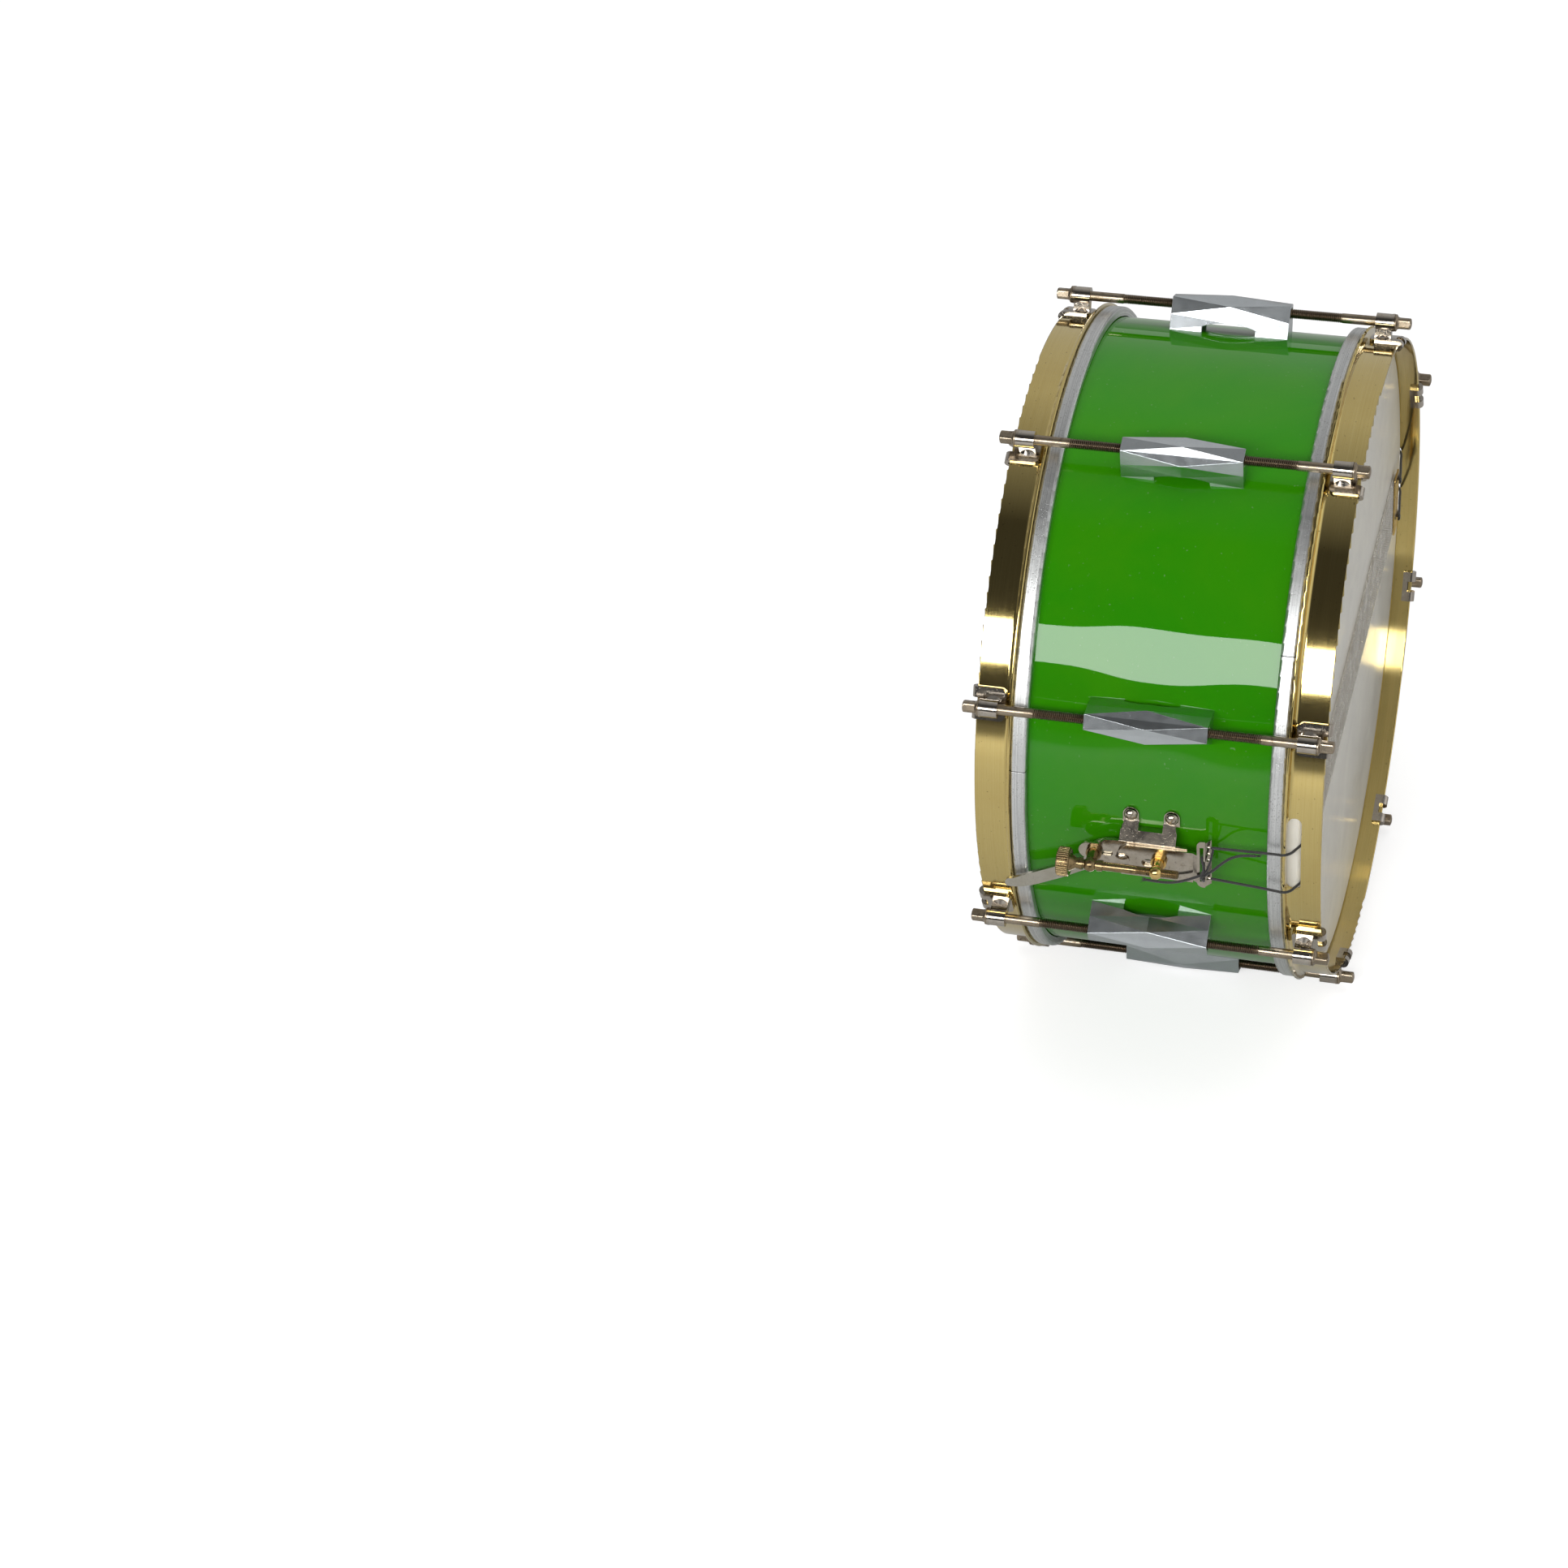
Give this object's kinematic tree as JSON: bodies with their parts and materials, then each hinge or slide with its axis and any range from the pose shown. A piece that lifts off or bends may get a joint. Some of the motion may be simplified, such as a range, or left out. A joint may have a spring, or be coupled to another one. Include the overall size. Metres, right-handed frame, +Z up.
{
  "type": "snare drum",
  "caption": "Deep snare drum on its edge: lacquered shell, clamped single-flange hoops on tension rods, faceted lugs and a cam throw-off that slackens coiled snares.",
  "frame": {"origin": "middle of the base of the whole drum as it lies on its edge", "axes": "+X along the drum axis towards the snare side, -Y towards the strainer, +Z up"},
  "size_m": [0.199, 0.4006, 0.3698],
  "materials": {
    "green_lacquer": "deep green gloss lacquer over a plywood shell",
    "film": "pale satin polyester film",
    "dull_aluminium": "dull, finely lined, worn",
    "gold_lacquered_brass": "brushed round the hoop and lacquered",
    "aged_nickel": "aged nickel with a brown patina",
    "bright_nickel": "bright nickel",
    "cast_nickel": "nickel over a slightly pitted casting",
    "yellow_brass": "polished",
    "zinc_steel": "zinc plated",
    "warm_nickel": "nickel with a warm tarnish",
    "satin_steel": "satin, fine scratches",
    "bronzed_brass": "browned brass",
    "wire_steel": "bright spring wire",
    "black_braid": "black braided cord"
  },
  "bodies": {
    "drum": {"batter_counter_hoop": "gold_lacquered_brass", "batter_flesh_hoop": "dull_aluminium", "batter_head": "film", "batter_hoop_claws": "bright_nickel", "bracket_screw_nuts": "zinc_steel", "butt_bracket": "warm_nickel", "butt_clamp_bar": "warm_nickel", "butt_clamp_screws": "zinc_steel", "butt_screws": "warm_nickel", "lever_pivot_rivet": "warm_nickel", "lug_casing_1": "cast_nickel", "lug_casing_2": "cast_nickel", "lug_casing_3": "cast_nickel", "lug_casing_4": "cast_nickel", "lug_casing_5": "cast_nickel", "lug_casing_6": "cast_nickel", "lug_casing_7": "cast_nickel", "lug_casing_8": "cast_nickel", "lug_screw_washers": "zinc_steel", "lug_screws": "zinc_steel", "lug_springs": "zinc_steel", "lug_swivel_nuts": "yellow_brass", "shell": "green_lacquer", "snare_cords_back": "black_braid", "snare_cords_front": "black_braid", "snare_counter_hoop": "gold_lacquered_brass", "snare_flesh_hoop": "dull_aluminium", "snare_head": "film", "snare_hoop_claws": "bright_nickel", "strainer_bracket": "warm_nickel", "strainer_screws": "warm_nickel", "tension_rod_washers": "bright_nickel"},
    "lever": {"throw_lever": "satin_steel"},
    "carriage": {"front_trunnion": "bronzed_brass"},
    "adjuster": {"adjuster_screw": "bronzed_brass", "adjuster_knob": "bronzed_brass"},
    "slider": {"slider_plate": "warm_nickel", "guide_rivet": "warm_nickel", "rear_trunnion": "yellow_brass", "cord_tail_upper": "black_braid", "cord_tail_lower": "black_braid"},
    "snares": {"snare_wires": "wire_steel", "snare_end_plate_front": "yellow_brass", "snare_end_plate_back": "yellow_brass"},
    "snare_rod_1": {"snare_tension_rod_1": "aged_nickel"},
    "snare_rod_2": {"snare_tension_rod_2": "aged_nickel"},
    "snare_rod_3": {"snare_tension_rod_3": "aged_nickel"},
    "snare_rod_4": {"snare_tension_rod_4": "aged_nickel"},
    "snare_rod_5": {"snare_tension_rod_5": "aged_nickel"},
    "snare_rod_6": {"snare_tension_rod_6": "aged_nickel"},
    "snare_rod_7": {"snare_tension_rod_7": "aged_nickel"},
    "snare_rod_8": {"snare_tension_rod_8": "aged_nickel"},
    "batter_rod_1": {"batter_tension_rod_1": "aged_nickel"},
    "batter_rod_2": {"batter_tension_rod_2": "aged_nickel"},
    "batter_rod_3": {"batter_tension_rod_3": "aged_nickel"},
    "batter_rod_4": {"batter_tension_rod_4": "aged_nickel"},
    "batter_rod_5": {"batter_tension_rod_5": "aged_nickel"},
    "batter_rod_6": {"batter_tension_rod_6": "aged_nickel"},
    "batter_rod_7": {"batter_tension_rod_7": "aged_nickel"},
    "batter_rod_8": {"batter_tension_rod_8": "aged_nickel"}
  },
  "joints": [
    {"name": "snare_rod_1_turn", "type": "hinge", "parent": "drum", "child": "snare_rod_1", "pos_m": [0.09, 0.0788, 0.36099], "axis": [1, 0, 0], "continuous": true},
    {"name": "snare_rod_2_turn", "type": "hinge", "parent": "drum", "child": "snare_rod_2", "pos_m": [0.09, -0.06708, 0.36099], "axis": [1, 0, 0], "continuous": true},
    {"name": "snare_rod_3_turn", "type": "hinge", "parent": "drum", "child": "snare_rod_3", "pos_m": [0.09, -0.17023, 0.25784], "axis": [1, 0, 0], "continuous": true},
    {"name": "snare_rod_4_turn", "type": "hinge", "parent": "drum", "child": "snare_rod_4", "pos_m": [0.09, -0.17023, 0.11196], "axis": [1, 0, 0], "continuous": true},
    {"name": "snare_rod_5_turn", "type": "hinge", "parent": "drum", "child": "snare_rod_5", "pos_m": [0.09, -0.06708, 0.00881], "axis": [1, 0, 0], "continuous": true},
    {"name": "snare_rod_6_turn", "type": "hinge", "parent": "drum", "child": "snare_rod_6", "pos_m": [0.09, 0.0788, 0.00881], "axis": [1, 0, 0], "continuous": true},
    {"name": "snare_rod_7_turn", "type": "hinge", "parent": "drum", "child": "snare_rod_7", "pos_m": [0.09, 0.18195, 0.11196], "axis": [1, 0, 0], "continuous": true},
    {"name": "snare_rod_8_turn", "type": "hinge", "parent": "drum", "child": "snare_rod_8", "pos_m": [0.09, 0.18195, 0.25784], "axis": [1, 0, 0], "continuous": true},
    {"name": "batter_rod_1_turn", "type": "hinge", "parent": "drum", "child": "batter_rod_1", "pos_m": [-0.09, 0.0788, 0.36099], "axis": [1, 0, 0], "continuous": true},
    {"name": "batter_rod_2_turn", "type": "hinge", "parent": "drum", "child": "batter_rod_2", "pos_m": [-0.09, -0.06708, 0.36099], "axis": [1, 0, 0], "continuous": true},
    {"name": "batter_rod_3_turn", "type": "hinge", "parent": "drum", "child": "batter_rod_3", "pos_m": [-0.09, -0.17023, 0.25784], "axis": [1, 0, 0], "continuous": true},
    {"name": "batter_rod_4_turn", "type": "hinge", "parent": "drum", "child": "batter_rod_4", "pos_m": [-0.09, -0.17023, 0.11196], "axis": [1, 0, 0], "continuous": true},
    {"name": "batter_rod_5_turn", "type": "hinge", "parent": "drum", "child": "batter_rod_5", "pos_m": [-0.09, -0.06708, 0.00881], "axis": [1, 0, 0], "continuous": true},
    {"name": "batter_rod_6_turn", "type": "hinge", "parent": "drum", "child": "batter_rod_6", "pos_m": [-0.09, 0.0788, 0.00881], "axis": [1, 0, 0], "continuous": true},
    {"name": "batter_rod_7_turn", "type": "hinge", "parent": "drum", "child": "batter_rod_7", "pos_m": [-0.09, 0.18195, 0.11196], "axis": [1, 0, 0], "continuous": true},
    {"name": "batter_rod_8_turn", "type": "hinge", "parent": "drum", "child": "batter_rod_8", "pos_m": [-0.09, 0.18195, 0.25784], "axis": [1, 0, 0], "continuous": true},
    {"name": "lever_throw", "type": "hinge", "parent": "drum", "child": "lever", "pos_m": [-0.012, -0.17772, 0.17034], "axis": [0, -0.9993, -0.0384], "range_deg": [0, 34]},
    {"name": "carriage_slide", "type": "slide", "parent": "drum", "child": "carriage", "axis": [1, 0, 0], "range_m": [0, 0.005], "deforming": ["snare_cords_front"]},
    {"name": "adjuster_turn", "type": "hinge", "parent": "carriage", "child": "adjuster", "pos_m": [-0.027, -0.1923, 0.17729], "axis": [1, 0, 0], "range_deg": [-810, 810]},
    {"name": "slider_slide", "type": "slide", "parent": "carriage", "child": "slider", "axis": [1, 0, 0], "range_m": [-0.0018, 0.0018]},
    {"name": "snare_drop", "type": "hinge", "parent": "drum", "child": "snares", "pos_m": [0.084, 0.15475, 0.19062], "axis": [0, -0.0384, 0.9993], "range_deg": [0, 0.95], "deforming": ["snare_cords_back"]}
  ],
  "couplings": [
    {"joint": "carriage_slide", "follows": "lever_throw", "m_per_rad": 0.0084258},
    {"joint": "adjuster_turn", "follows": "slider_slide", "rad_per_m": 7854},
    {"joint": "snare_drop", "follows": "lever_throw", "ratio": 0.027941}
  ]
}
